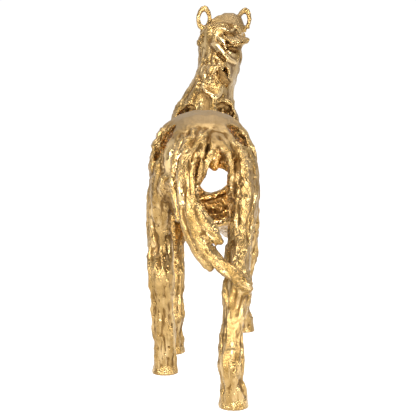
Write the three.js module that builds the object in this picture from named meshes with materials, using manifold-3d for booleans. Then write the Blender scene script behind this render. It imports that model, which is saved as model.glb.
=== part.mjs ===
// A walking horse, cast in one piece in the manner of bark and thin plates.
//
// The trunk and neck are a hollow shell, open under the tail, at the breast, along the belly and in
// windows at the hips, shoulders and flanks. Four legs, the head with its ear loops, and a tail whose
// strands sweep round to the right hock are fused to it. The horse faces +Y, +X is its right, +Z is up,
// and it stands on the floor z = 0 on the flat undersides of its four hooves. The pose is drawn from a
// point under the tail, then moved so that the origin is the middle of the horse's length and width, on
// the floor. Lengths are millimetres.

import * as THREE from "three";
import { mergeVertices } from "three/addons/utils/BufferGeometryUtils.js";
import Module from "manifold-3d";

const wasm = await Module();
wasm.setup();

// Driving dimensions

const height = 500; // floor to ear tips
const wall = 5; // thickness of the hollow trunk and neck
const plateRise = 2.4; // how far the bark plates stand proud of the trunk
const hoofWidth = 35.6; // across the flared rim of a hoof
const hoofHeight = 16; // floor to coronet
const hoofTaper = 0.8; // width at the coronet as a share of the rim's
const cannonWidth = 24; // a lower leg, side to side
const headLength = 135; // poll to nose
const headDrop = 0.53; // how far the nose points below level, radians
const headTurn = 0.09; // how far the head looks to its right, radians
const earBand = 6.4; // thickness of the ear loops at their sides
const tailStrand = 6.5; // half-width of a tail strand at its middle

// The pose is drawn for a horse 500 high and goes with the height.
const pose = height / 500;
const at = (x, y, z) => new THREE.Vector3(x, y, z).multiplyScalar(pose);

// Solids

/** A closed BufferGeometry as a manifold-3d solid. */
function solid(geometry) {
  const bare = geometry.index ? geometry.toNonIndexed() : geometry.clone();
  bare.deleteAttribute("normal");
  bare.deleteAttribute("uv");
  const merged = mergeVertices(bare, 1e-4);
  return new wasm.Manifold(
    new wasm.Mesh({
      numProp: 3,
      vertProperties: new Float32Array(merged.attributes.position.array),
      triVerts: new Uint32Array(merged.index.array),
    }),
  );
}

/** A manifold-3d solid as a BufferGeometry. */
function geometryOf(made) {
  const mesh = made.getMesh();
  const geometry = new THREE.BufferGeometry();
  const position = new Float32Array(mesh.numVert * 3);
  for (let i = 0; i < mesh.numVert; i++) {
    const from = i * mesh.numProp;
    position.set(mesh.vertProperties.subarray(from, from + 3), i * 3);
  }
  geometry.setAttribute("position", new THREE.BufferAttribute(position, 3));
  geometry.setIndex(new THREE.BufferAttribute(mesh.triVerts, 1));
  const flat = geometry.toNonIndexed();
  flat.computeVertexNormals();
  return flat;
}

const join = (solids) => solids.reduce((sum, next) => sum.add(next));

/** Rings of points, each the same count, skinned into one closed surface; ring: the last meets the first. */
function skin(rings, ring = false) {
  const count = rings[0].length;
  const position = rings.flat().flatMap((p) => [p.x, p.y, p.z]);
  const index = [];
  const bands = ring ? rings.length : rings.length - 1;
  for (let i = 0; i < bands; i++) {
    const low = i * count;
    const high = ((i + 1) % rings.length) * count;
    for (let j = 0; j < count; j++) {
      const next = (j + 1) % count;
      index.push(low + j, low + next, high + next, low + j, high + next, high + j);
    }
  }
  if (!ring) {
    const ends = [rings[0], rings[rings.length - 1]];
    ends.forEach((end, side) => {
      const middle = new THREE.Vector3();
      end.forEach((p) => middle.addScaledVector(p, 1 / count));
      const hub = position.length / 3;
      const base = side * (rings.length - 1) * count;
      position.push(middle.x, middle.y, middle.z);
      for (let j = 0; j < count; j++) {
        const next = (j + 1) % count;
        if (side) index.push(hub, base + j, base + next);
        else index.push(hub, base + next, base + j);
      }
    });
  }
  const geometry = new THREE.BufferGeometry();
  geometry.setAttribute("position", new THREE.Float32BufferAttribute(position, 3));
  geometry.setIndex(index);
  return geometry;
}

/**
 * A limb or strand lofted through stations [point, half-width, half-depth]. The depth runs along front
 * where that is square to the limb. Flutes are shallow grooves that wind round it like the grain of bark.
 */
function limb(stations, { front = [0, 1, 0], sides = 12, steps = 2, flutes = 0, depth = 0.08, wind = 1 } = {}) {
  const rail = new THREE.CatmullRomCurve3(stations.map(([point]) => point));
  const girth = new THREE.CatmullRomCurve3(stations.map(([, a, b]) => new THREE.Vector3(a, b, 0)));
  const forward = new THREE.Vector3(...front);
  const rings = [];
  const count = (stations.length - 1) * steps;
  for (let i = 0; i <= count; i++) {
    const t = i / count;
    const middle = rail.getPoint(t);
    const along = rail.getTangent(t);
    const { x: halfWidth, y: halfDepth } = girth.getPoint(t);
    const side = new THREE.Vector3().crossVectors(forward, along).normalize();
    const fore = new THREE.Vector3().crossVectors(along, side);
    const points = [];
    for (let j = 0; j < sides; j++) {
      const angle = (j / sides) * 2 * Math.PI;
      const swell = 1 + depth * (flutes ? Math.cos(flutes * angle + wind * t * Math.PI) : 0);
      points.push(
        middle
          .clone()
          .addScaledVector(side, halfWidth * swell * Math.cos(angle))
          .addScaledVector(fore, halfDepth * swell * Math.sin(angle)),
      );
    }
    rings.push(points);
  }
  return solid(skin(rings));
}

// Trunk
// Each station is [y, middle x, top z, widest z, bottom z, half-width, how far the keel leans right].

const trunkStations = [
  [66, -2, 303, 272, 246, 32, 0],
  [80, -3, 322, 270, 218, 50, 0],
  [108, -5, 333, 268, 198, 60, 2],
  [145, -5, 336, 262, 188, 63, 8],
  [190, -4, 325, 252, 180, 60, 14],
  [240, -2, 316, 246, 170, 58, 20],
  [285, 0, 322, 244, 160, 60, 25],
  [325, 0, 326, 244, 154, 58, 26],
  [360, 1, 308, 240, 168, 50, 18],
  [384, 2, 284, 236, 192, 36, 8],
  [397, 3, 258, 232, 212, 16, 3],
];
const trunkRoundness = 2.3; // 2 is an ellipse, more is squarer
const power = (value, exponent) => Math.sign(value) * Math.abs(value) ** exponent;

/** The trunk's form, grown by a distance, or shrunk where the distance is negative. */
function trunkForm(grow, sides = 22, count = 14) {
  const place = new THREE.CatmullRomCurve3(trunkStations.map(([y, x, top]) => at(x, y, top)));
  const low = new THREE.CatmullRomCurve3(trunkStations.map(([, , , wide, base, half]) => at(half, wide, base)));
  const lean = new THREE.CatmullRomCurve3(trunkStations.map((s) => at(s[6], 0, 0)));
  const rings = [];
  for (let i = 0; i < count; i++) {
    const t = i / (count - 1);
    const { x: middle, y, z: top } = place.getPoint(t);
    const { x: half, y: wide, z: base } = low.getPoint(t);
    const keel = lean.getPoint(t).x;
    const end = i === 0 ? -grow : i === count - 1 ? grow : 0;
    const points = [];
    for (let j = 0; j < sides; j++) {
      const angle = (j / sides) * 2 * Math.PI;
      const across = power(Math.cos(angle), 2 / trunkRoundness);
      const up = power(Math.sin(angle), 2 / trunkRoundness);
      const rise = up > 0 ? top - wide + grow : wide - base + grow;
      const shift = up < 0 ? keel * up * up : 0;
      points.push(new THREE.Vector3(middle - across * (half + grow) + shift, y + end, wide + up * rise));
    }
    rings.push(points);
  }
  return solid(skin(rings));
}

/** A prism through a smooth closed outline [u, v], looking at a point of the body from a direction. */
function prism({ centre, from, outline, near, far, segments = 2 }) {
  const points = outline.map(([u, v]) => new THREE.Vector3(u, v, 0).multiplyScalar(pose));
  const loop = new THREE.CatmullRomCurve3(points, true);
  const flat = loop.getPoints(outline.length * segments).slice(0, -1);
  const shape = new THREE.Shape(flat.map((p) => new THREE.Vector2(p.x, p.y)));
  const geometry = new THREE.ExtrudeGeometry(shape, { depth: (near + far) * pose, bevelEnabled: false });
  geometry.translate(0, 0, -far * pose);
  const outward = new THREE.Vector3(...from).normalize();
  const upward = Math.abs(outward.z) > 0.8 ? new THREE.Vector3(0, 1, 0) : new THREE.Vector3(0, 0, 1);
  const across = new THREE.Vector3().crossVectors(upward, outward).normalize();
  const turn = new THREE.Matrix4().makeBasis(across, new THREE.Vector3().crossVectors(outward, across), outward);
  geometry.applyMatrix4(turn);
  geometry.translate(...at(...centre).toArray());
  return solid(geometry);
}

// Openings through the shell. Looking at a flank, u runs forward on the right side and back on the left.
const leaf = (long, wide, tilt = 0) =>
  [0, 1, 2, 3, 4, 5, 6, 7].map((i) => {
    const angle = (i / 8) * 2 * Math.PI;
    const u = long * Math.cos(angle);
    const v = wide * Math.sin(angle) * (1 + 0.25 * Math.cos(angle));
    return [u * Math.cos(tilt) - v * Math.sin(tilt), u * Math.sin(tilt) + v * Math.cos(tilt)];
  });
const openings = [
  // under the tail, between the thighs
  { centre: [0, 60, 236], from: [0, -1, 0], near: 30, far: 75,
    outline: [[-20, -60], [-24, -6], [-20, 34], [-4, 54], [14, 56], [23, 38], [24, 0], [24, -60]] },
  // the breast, under the neck
  { centre: [11, 390, 235], from: [0, 1, 0], outline: leaf(25, 18.5, -0.22), near: 30, far: 60 },
  // along the belly, left of the keel
  { centre: [-22, 232, 166], from: [-0.3, 0, -1], outline: leaf(13, 58), near: 9, far: 30 },
  // along the belly, right of the keel
  { centre: [14, 288, 157], from: [0.25, 0, -1], outline: leaf(12, 60), near: 12, far: 24 },
  // hips, seen from behind inside their rims
  { centre: [-53, 94, 297], from: [-0.4, -0.85, 0.35], outline: leaf(25, 8, 1), near: 34, far: 26 },
  { centre: [35, 90, 304], from: [0.4, -0.75, 0.5], outline: leaf(20, 11, -0.7), near: 34, far: 26 },
  // shoulders, beside the withers
  { centre: [-34, 288, 334], from: [-0.3, -0.85, 0.6], outline: leaf(13, 9), near: 30, far: 26 },
  { centre: [28, 288, 338], from: [0.25, -0.85, 0.6], outline: leaf(10, 10), near: 30, far: 26 },
  // flanks
  { centre: [-60, 222, 236], from: [-1, 0, -0.05], outline: leaf(38, 14, 0.35), near: 30, far: 30 },
  { centre: [60, 228, 228], from: [1, 0, -0.1], outline: leaf(34, 13, 0.3), near: 30, far: 30 },
];

// Bark plates that stand proud of the shell and overlap its openings' edges.
const plates = [
  // the smooth cap over the rump
  { centre: [-4, 118, 330], from: [0, -0.35, 1], near: 40, far: 34,
    outline: [[-50, -26], [-20, -50], [24, -48], [50, -20], [44, 16], [20, 40], [-16, 42], [-46, 20]] },
];

/** The hollow trunk with its plates, before the openings are cut. */
function trunkShell() {
  const outer = trunkForm(0);
  const proud = trunkForm(plateRise);
  return join([outer, ...plates.map((plate) => proud.intersect(prism(plate)))]);
}

// Neck

const neckStations = [
  [[-3, 322, 262], 44, 56],
  [[-6, 325, 316], 51, 56],
  [[-1, 332, 345], 39.5, 50],
  [[6.5, 342, 369], 31.5, 43],
  [[12.5, 357, 391], 29.5, 36],
  [[18, 376, 420], 31.5, 32],
  [[18.5, 388, 445], 32, 28],
  [[21, 396, 461], 24, 20],
  [[24, 402, 471], 12, 9],
];

/** The neck's form, grown or shrunk as the trunk's is, and fluted where it is the outside. */
function neckForm(grow, look) {
  const stations = neckStations.map(([point, a, b]) => [at(...point), a * pose + grow, b * pose + grow]);
  return limb(stations, look);
}

const neckSlot = { centre: [22, 335, 388], from: [0.3, -1, 0.4], outline: leaf(11, 5.5, 1.5), near: 40, far: 16 };
const neckGap = { centre: [6, 394, 338], from: [0.1, 1, 0.3], outline: leaf(30, 8, 1.6), near: 30, far: 24 };

// Legs
// Each leg runs from the coronet up into the trunk: [point, half-width, half-depth].

const cannon = cannonWidth / (24 * pose); // girths below the knees and hocks are drawn for a width of 24
const hindRight = {
  hoof: [29, 1],
  stations: [
    [[28, -1, 10], 14, 15], [[27.6, -2, 19], 15.2, 14.5], [[25.5, -4, 29], 11.6, 11.5], [[24.4, -4, 48], 14.4, 14.5],
    [[26, 6, 74], 12, 12.5], [[29.6, 16, 102], 12.4, 13.5], [[33.5, 24, 128], 16, 19], [[35.5, 46, 162], 14, 19],
    [[38, 68, 197], 16, 28], [[42, 88, 230], 20.5, 38], [[42, 104, 266], 20, 40], [[34, 112, 294], 17, 34],
  ],
};
const hindLeft = {
  hoof: [-55.4, 146],
  stations: [
    [[-55.4, 145, 10], 14, 15], [[-55, 143, 19], 15, 14.5], [[-55, 140, 29], 12.6, 12], [[-56, 137, 50], 15, 14.5],
    [[-57, 135, 78], 13.6, 13], [[-58, 131, 104], 14.2, 14.5], [[-58, 128, 128], 15.5, 19.5],
    [[-60, 140, 160], 14.5, 20], [[-62, 146, 195], 14, 28], [[-61, 138, 228], 14, 38], [[-57, 128, 262], 14, 42],
    [[-46, 122, 292], 16, 34],
  ],
};
const frontLeft = {
  hoof: [-49.8, 252],
  stations: [
    [[-49.4, 250, 10], 14, 15], [[-49, 248, 20], 15.2, 15], [[-48.4, 244, 32], 12, 12], [[-47.5, 239, 55], 15, 15],
    [[-47.5, 242, 82], 11.8, 12.5], [[-47.5, 248, 112], 14.5, 16], [[-48, 262, 145], 13.5, 17],
    [[-49, 284, 182], 16, 25],
    [[-50, 302, 222], 17, 36], [[-47, 306, 264], 17, 38], [[-46, 302, 300], 16, 32], [[-32, 304, 330], 14, 24],
  ],
};
const frontRight = {
  hoof: [55, 388],
  stations: [
    [[54.6, 386, 10], 14, 15], [[54, 383, 20], 15.2, 15], [[52, 378, 33], 11.6, 12], [[51, 372, 56], 13.4, 15],
    [[52, 368, 85], 12.4, 12.5], [[57.5, 366, 116], 15, 16], [[59, 358, 146], 14.6, 17], [[59.5, 345, 184], 17, 26],
    [[52, 332, 224], 17, 36], [[44, 322, 264], 16, 38], [[38, 314, 298], 14, 30], [[32, 310, 328], 12, 24],
    [[27, 313, 350], 9, 16],
  ],
};
const legs = [hindRight, hindLeft, frontLeft, frontRight];
const lowerLegStations = 6; // from the coronet up to the knee or hock, where the cannon's width rules

/** A leg with its flutes, and the flared hoof that it stands in. */
function leg({ hoof, stations }, number) {
  const drawn = stations.map(([point, a, b], i) => {
    const girth = pose * (i < lowerLegStations ? cannon : 1);
    return [at(...point), a * girth, b * girth];
  });
  const upper = limb(drawn, { sides: 9, flutes: 3, depth: 0.07, wind: number % 2 ? 1.2 : -1 });
  const foot = new THREE.CylinderGeometry((hoofWidth / 2) * hoofTaper, hoofWidth / 2, hoofHeight, 16);
  foot.rotateX(Math.PI / 2);
  foot.scale(1, 1.06, 1);
  foot.translate(hoof[0] * pose, hoof[1] * pose, hoofHeight / 2);
  return join([solid(foot), upper]);
}

// Head

const pollPoint = [24, 398, 464];
const headShare = headLength / 135; // the head is drawn 135 long
// Drawn in the head's own lengths: [along from the poll, to its right, up], half-width, half-height.
const skull = [
  [[-14, -1, 1], 18, 15],
  [[0, 0, 2], 25, 23],
  [[20, 0, 2], 27, 26],
  [[40, 0, 0], 25, 24],
  [[64, 0, -2], 18.5, 20],
  [[88, 0, -3], 14.5, 16],
  [[110, 0, -4], 15, 14],
  [[124, 0, -6], 14, 12],
  [[133, 0, -9], 8.5, 7],
];
const jaw = [
  [[0, 0, -16], 17, 15],
  [[18, 0, -24], 20, 21],
  [[38, 0, -24], 16, 20],
  [[60, 0, -21], 12, 15],
  [[84, 0, -20], 9.5, 11],
  [[104, 0, -23.5], 10, 8],
  [[117, 0, -26], 7, 5.5],
];
const eyes = [[38, 24, 8], [38, -24, 8]];
const nostrils = [[123, 12, -3], [123, -12, -3]];
const brows = [1, -1].map((side) => [
  [[22, side * 22, 18], 4, 3],
  [[36, side * 27, 15], 4.5, 3.6],
  [[50, side * 22.5, 9], 3.5, 3],
]);
const pollCap = { middle: [32, 403, 468], radii: [24.5, 20, 22] };

/** A point of the head, turned to where it looks. */
function headAt(along, right, up) {
  const point = new THREE.Vector3(right, along, up).multiplyScalar(headShare);
  point.applyAxisAngle(new THREE.Vector3(1, 0, 0), -headDrop);
  point.applyAxisAngle(new THREE.Vector3(0, 0, 1), -headTurn);
  return point.add(at(...pollPoint));
}

/** Skull, jaw and the smooth cap over the poll, with sunken eyes under their brows, and nostrils. */
function head() {
  const drawn = (stations) => stations.map(([point, a, b]) => [headAt(...point), a * headShare, b * headShare]);
  const form = (stations, sides) => limb(drawn(stations), { front: [0, 0, 1], sides });
  const hollows = [
    ...eyes.map((eye) => ball(headAt(...eye), [5, 6.5, 5], 6)),
    ...nostrils.map((nostril) => ball(headAt(...nostril), [3.4, 4.4, 3.4], 6)),
  ];
  return join([
    join([form(skull, 12), form(jaw, 9)]).subtract(join(hollows)),
    ball(at(...pollCap.middle), pollCap.radii, 10),
    ...brows.map((brow) => form(brow, 5)),
  ]);
}

function ball(middle, radii, segments = 8) {
  const geometry = new THREE.SphereGeometry(1, segments, segments - 2);
  geometry.scale(...radii.map((r) => r * pose));
  geometry.translate(...middle.toArray());
  return solid(geometry);
}

// Ears: tall open loops, each on a short stem
const ears = [
  { middle: [-6.2, 400, 480.3], half: [8.9, 15], lean: 0.05, stem: [[-7, 400, 462], [2, 398, 448]] },
  { middle: [54.5, 401, 477.5], half: [8.6, 14.8], lean: 0.16, stem: [[51, 401, 462], [44, 400, 452]] },
];
const earTip = 1.6; // the band's thickness at the tip as a share of its thickness at the sides

/** A loop whose band swells to a pointed tip and to the stem. */
function ear({ middle, half, lean, stem }) {
  const band = earBand / 2;
  const rings = [];
  const around = 14;
  const sides = 6;
  for (let i = 0; i < around; i++) {
    const angle = (i / around) * 2 * Math.PI;
    const rise = Math.cos(angle);
    const narrow = 1 - 0.2 * Math.max(0, rise) ** 2;
    const out = new THREE.Vector3(Math.sin(angle), 0, rise);
    const centre = new THREE.Vector3(half[0] * Math.sin(angle) * narrow, 0, half[1] * rise);
    const thick = band * (1 + (earTip - 1) * Math.max(0, rise) ** 2 + 0.3 * Math.max(0, -rise) ** 2);
    const points = [];
    for (let j = 0; j < sides; j++) {
      const turn = (j / sides) * 2 * Math.PI;
      const point = centre.clone().multiplyScalar(pose);
      point.addScaledVector(out, thick * Math.cos(turn));
      point.y -= band * Math.sin(turn);
      points.push(point.applyAxisAngle(new THREE.Vector3(0, 1, 0), lean).add(at(...middle)));
    }
    rings.push(points);
  }
  const loop = solid(skin(rings, true));
  const post = limb(stem.map((point) => [at(...point), band * 1.5, band * 1.6]), { sides: 6 });
  return loop.add(post);
}

// Strips of bark that bridge the openings or stand on the body: [point, half-thickness, half-breadth]
const strips = [
  // outer rims of the hip openings
  [[[-30, 112, 327], 3.5, 8], [[-47, 110, 320], 4, 8], [[-58.5, 108, 308], 4.2, 8.5], [[-65, 108, 291], 4.5, 9],
    [[-67.5, 112, 270], 5, 10], [[-67, 120, 250], 4, 9]],
  [[[20, 112, 328], 3.5, 8], [[35, 108, 321], 4, 8], [[45, 104, 308], 4, 8.5], [[51, 100, 294], 4.2, 9],
    [[56, 98, 278], 4.5, 9], [[58, 98, 258], 4, 8]],
  // the arch over the right side of the opening under the tail
  [[[-3, 64, 286], 4, 5], [[5, 60, 297], 4, 5], [[16, 60, 298], 4.5, 5], [[24.5, 64, 285], 5, 6],
    [[27.5, 70, 264], 5, 7], [[27.5, 74, 240], 5, 8], [[29, 76, 216], 5.5, 8], [[33, 70, 192], 5, 7]],
  // ledge and locks on the nape
  [[[20, 368, 450], 4, 5], [[34, 364, 439], 4, 6], [[47, 368, 439], 3.5, 6], [[59, 376, 443], 2, 3.5]],
  [[[9, 366, 447], 3, 4], [[20, 360, 438], 3.5, 4.5], [[29, 358, 431], 3.5, 4.5], [[34, 358, 422], 3, 4]],
  [[[3, 364, 442], 3.5, 4], [[17, 356, 430], 4, 5], [[30, 352, 421], 4, 5], [[42, 356, 413], 3, 4]],
];

function strip(stations) {
  const drawn = stations.map(([point, a, b]) => [at(...point), a * pose, b * pose]);
  return limb(drawn, { sides: 5, steps: stations.length > 5 ? 1 : 2 });
}

// Tail: strands that part over the rump's rear and gather at the right hock, and one broad blade
const strand = tailStrand / (6.5 * pose); // girths are drawn for 6.5
const tailStrands = [
  [[[-8, 90, 316], 9, 7], [[-18, 62, 302], 8, 6], [[-26, 46, 282], 6, 6], [[-30, 40, 260], 6, 6],
    [[-30, 38, 236], 6.5, 6], [[-27, 36, 212], 6.5, 6], [[-19, 32, 189], 7, 6], [[-9, 28, 171], 7.5, 6.5],
    [[0, 25, 159], 7, 6], [[5, 24, 152], 3.5, 3.5]],
  [[[2, 90, 316], 9, 7], [[-8, 60, 302], 8, 6], [[-18, 44, 282], 6, 6], [[-22, 38, 262], 6, 6],
    [[-21, 34, 240], 6.5, 6], [[-20, 32, 220], 8, 6], [[-13, 28, 198], 9, 7], [[-2, 24, 177], 9, 7],
    [[14, 16, 160], 8.5, 7], [[30, 8, 149], 8, 6.5], [[42, 6, 140], 7, 6.5]],
  [[[8, 88, 312], 9, 7], [[7, 62, 300], 6, 6], [[3, 56, 284], 4, 5], [[-5, 52, 268], 4, 5],
    [[-12, 48, 252], 4, 4.5], [[-15, 42, 237], 4, 4.5], [[-11, 36, 222], 4, 4]],
  [[[-14, 92, 314], 9, 7], [[-28, 66, 298], 8, 7], [[-38, 58, 278], 6, 7], [[-41, 58, 252], 5, 6],
    [[-37, 56, 226], 5, 6], [[-33, 50, 206], 4, 5]],
];
const tailBlade = [[[-22, 36, 238], 4, 4], [[-14, 32, 224], 8, 4], [[-5, 27, 208], 10, 4], [[6, 22, 194], 9.5, 3.6],
  [[17, 18, 184.5], 4, 2.6]];
const tailKnot = { middle: [43, 8, 136], radii: [7.5, 8, 8] };
const tailRoot = { middle: [-3, 88, 313], radii: [22, 12, 8.5] };

function tail() {
  const drawn = (stations) => stations.map(([p, a, b]) => [at(...p), a * pose * strand, b * pose * strand]);
  return join([
    ...tailStrands.map((stations) => limb(drawn(stations), { sides: 7, steps: 1 })),
    limb(drawn(tailBlade), { sides: 6 }),
    ball(at(...tailKnot.middle), tailKnot.radii),
    ball(at(...tailRoot.middle), tailRoot.radii),
  ]);
}

// The casting

const shell = join([trunkShell(), neckForm(0, { sides: 14, flutes: 5, depth: 0.035, wind: 0.6 })]);
const hollow = join([trunkForm(-wall, 14, 9), neckForm(-wall, { sides: 10, steps: 1 })]);
const cuts = join([...openings, neckSlot, neckGap].map(prism));
const limbs = join(legs.map(leg));
const casting = join([
  shell.add(limbs).subtract(hollow).subtract(cuts),
  head(),
  ...ears.map(ear),
  ...strips.map(strip),
  tail(),
]);

const gilt = new THREE.MeshStandardMaterial({ color: 0xd2a954, metalness: 1, roughness: 0.32 });
const horse = new THREE.Mesh(geometryOf(casting), gilt);
horse.name = "horse";
const span = new THREE.Box3().setFromObject(horse).getCenter(new THREE.Vector3());
horse.position.set(-span.x, -span.y, 0);

const part = new THREE.Group();
part.add(horse);

export default part;
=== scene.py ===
import math

import bmesh
import bpy
import numpy as np
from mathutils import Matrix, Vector
from mathutils.bvhtree import BVHTree


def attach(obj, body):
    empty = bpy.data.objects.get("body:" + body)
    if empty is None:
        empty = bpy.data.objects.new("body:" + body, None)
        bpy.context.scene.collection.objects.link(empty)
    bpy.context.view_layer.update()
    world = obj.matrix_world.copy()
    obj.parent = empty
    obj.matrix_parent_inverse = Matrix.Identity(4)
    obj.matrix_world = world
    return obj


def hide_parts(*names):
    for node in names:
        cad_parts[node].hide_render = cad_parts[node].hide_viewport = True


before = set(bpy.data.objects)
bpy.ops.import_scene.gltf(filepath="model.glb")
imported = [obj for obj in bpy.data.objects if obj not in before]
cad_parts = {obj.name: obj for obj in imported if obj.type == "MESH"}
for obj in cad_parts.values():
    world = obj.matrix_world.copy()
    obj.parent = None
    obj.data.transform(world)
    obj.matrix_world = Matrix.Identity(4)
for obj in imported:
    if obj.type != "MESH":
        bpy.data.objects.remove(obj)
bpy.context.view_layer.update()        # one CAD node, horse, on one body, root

scene = bpy.context.scene
print("frame loaded")

# Places are drawn in millimetres from a point on the floor under the tail:
# x to the horse's right, y the way it faces, z up. This is that point in the model's own frame.
underTail = np.array([0.0001, -0.2473, 0.0])


def place(points):
    return np.asarray(points, float) * 0.001 + underTail


# Nodes: a Wire is an output that can be used in Python arithmetic, and a Bench makes every other node

class Wire:
    def __init__(self, tree, socket):
        self.tree = tree
        self.socket = socket

    def math(self, operation, *values, clamp=False):
        node = self.tree.nodes.new("ShaderNodeMath")
        node.operation = operation
        node.use_clamp = clamp
        for socket, value in zip(node.inputs, values):
            plug(self.tree, socket, value)
        return Wire(self.tree, node.outputs[0])

    def __add__(self, other): return self.math("ADD", self, other)
    def __radd__(self, other): return self.math("ADD", other, self)
    def __sub__(self, other): return self.math("SUBTRACT", self, other)
    def __rsub__(self, other): return self.math("SUBTRACT", other, self)
    def __mul__(self, other): return self.math("MULTIPLY", self, other)
    def __pow__(self, other): return self.math("POWER", self, other)

    def clamped(self): return self.math("ADD", self, 0.0, clamp=True)


def plug(tree, socket, value):
    if isinstance(value, Wire):
        tree.links.new(value.socket, socket)
    else:
        socket.default_value = value


class Bench:
    def __init__(self, tree):
        self.tree = tree

    def add(self, kind, settings=None, inputs=None, out=0):
        node = self.tree.nodes.new(kind)
        for name, value in (settings or {}).items():
            setattr(node, name, value)
        for name, value in (inputs or {}).items():
            plug(self.tree, node.inputs[name], value)
        return Wire(self.tree, node.outputs[out]) if node.outputs else None

    def attribute(self, name, out="Fac"):
        return self.add("ShaderNodeAttribute", {"attribute_name": name}, {}, out)

    def noise(self, vector, scale, detail, roughness=0.5):
        return self.add("ShaderNodeTexNoise", {},
                        {"Vector": vector, "Scale": scale, "Detail": detail, "Roughness": roughness})

    def ramp(self, value, low, high, toLow=0.0, toHigh=1.0):
        return self.add("ShaderNodeMapRange", {"interpolation_type": "SMOOTHSTEP"},
                        {"Value": value, "From Min": low, "From Max": high,
                         "To Min": toLow, "To Max": toHigh})

    def mixColour(self, factor, first, second):
        # colours as red, green, blue, or as a Wire; the sockets for colours are the node's 6 and 7, out at 2
        first, second = [given if isinstance(given, Wire) else (*given, 1.0) for given in (first, second)]
        return self.add("ShaderNodeMix", {"data_type": "RGBA"}, {"Factor": factor, 6: first, 7: second}, 2)


# Meshes

def makeObject(name, mesh):
    made = bpy.data.objects.new(name, mesh)
    scene.collection.objects.link(made)
    return made


def readPoints(mesh):
    flat = np.empty(len(mesh.vertices) * 3, np.float32)
    mesh.vertices.foreach_get("co", flat)
    return flat.reshape(-1, 3).astype(float)


def writePoints(mesh, points):
    mesh.vertices.foreach_set("co", np.ascontiguousarray(points, np.float32).ravel())
    mesh.update()


def readNormals(mesh):
    flat = np.empty(len(mesh.vertices) * 3, np.float32)
    mesh.vertex_normals.foreach_get("vector", flat)
    return flat.reshape(-1, 3).astype(float)


def readEdges(mesh):
    flat = np.empty(len(mesh.edges) * 2, np.int32)
    mesh.edges.foreach_get("vertices", flat)
    return flat.reshape(-1, 2)


def evaluatedMesh(thing):
    depsgraph = bpy.context.evaluated_depsgraph_get()
    return bpy.data.meshes.new_from_object(thing.evaluated_get(depsgraph))


def discard(thing):
    mesh = thing.data
    bpy.data.objects.remove(thing)
    if mesh.users == 0:
        bpy.data.meshes.remove(mesh)


def neighbourMean(values, edges):
    count = len(values)
    total = np.zeros_like(values)
    for axis in range(values.shape[1]):
        total[:, axis] += np.bincount(edges[:, 0], values[edges[:, 1], axis], count)
        total[:, axis] += np.bincount(edges[:, 1], values[edges[:, 0], axis], count)
    return total / np.maximum(np.bincount(edges.ravel(), minlength=count), 1)[:, None]


def dropBubbles(mesh):
    # keeps only the part of the mesh with the most points, and says how many points went
    edges = readEdges(mesh)
    label = np.arange(len(mesh.vertices))
    settled = False
    while not settled:
        first, second = label[edges[:, 0]], label[edges[:, 1]]
        low = np.minimum(first, second)
        np.minimum.at(label, first, low)
        np.minimum.at(label, second, low)
        while (label[label] != label).any():
            label = label[label]
        settled = (label[edges[:, 0]] == label[edges[:, 1]]).all()
    stray = label != np.bincount(label).argmax()
    work = bmesh.new()
    work.from_mesh(mesh)
    loose = [point for point in work.verts if stray[point.index]]
    bmesh.ops.delete(work, geom=loose, context="VERTS")
    work.to_mesh(mesh)
    work.free()
    return int(stray.sum())


# Noise for the relief, the same on every run

noiseCells = 256       # the pattern repeats after so many cells
cellSeed, slopeSeed = 7, 11
shuffle = np.random.default_rng(cellSeed).permutation(noiseCells)
shuffle = np.concatenate([shuffle, shuffle])
slopes = np.random.default_rng(slopeSeed).normal(size=(noiseCells, 3)).astype(np.float32)
slopes /= np.linalg.norm(slopes, axis=1, keepdims=True)


def noise(p):
    # smooth, mostly within -0.5 and 0.5
    cell = np.floor(p).astype(np.int32)
    part = (p - cell).astype(np.float32)
    cell &= noiseCells - 1
    fade = part * part * part * (part * (part * 6 - 15) + 10)
    total = np.zeros(len(p), np.float32)
    for corner in range(8):
        dx, dy, dz = corner & 1, corner >> 1 & 1, corner >> 2 & 1
        pick = shuffle[cell[:, 0] + dx]
        pick = shuffle[pick + cell[:, 1] + dy & noiseCells - 1]
        pick = shuffle[pick + cell[:, 2] + dz & noiseCells - 1]
        slope = slopes[pick]
        reach = (part[:, 0] - dx) * slope[:, 0] + (part[:, 1] - dy) * slope[:, 1]
        reach = reach + (part[:, 2] - dz) * slope[:, 2]
        weight = fade[:, 0] if dx else 1 - fade[:, 0]
        weight = weight * (fade[:, 1] if dy else 1 - fade[:, 1])
        weight = weight * (fade[:, 2] if dz else 1 - fade[:, 2])
        total += reach * weight
    return total


def smoothStep(value, low, high):
    t = np.clip((value - low) / (high - low), 0, 1)
    return t * t * (3 - 2 * t)


# The lines that the bark's grain follows: points in millimetres, then half-width and half-depth there

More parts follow.
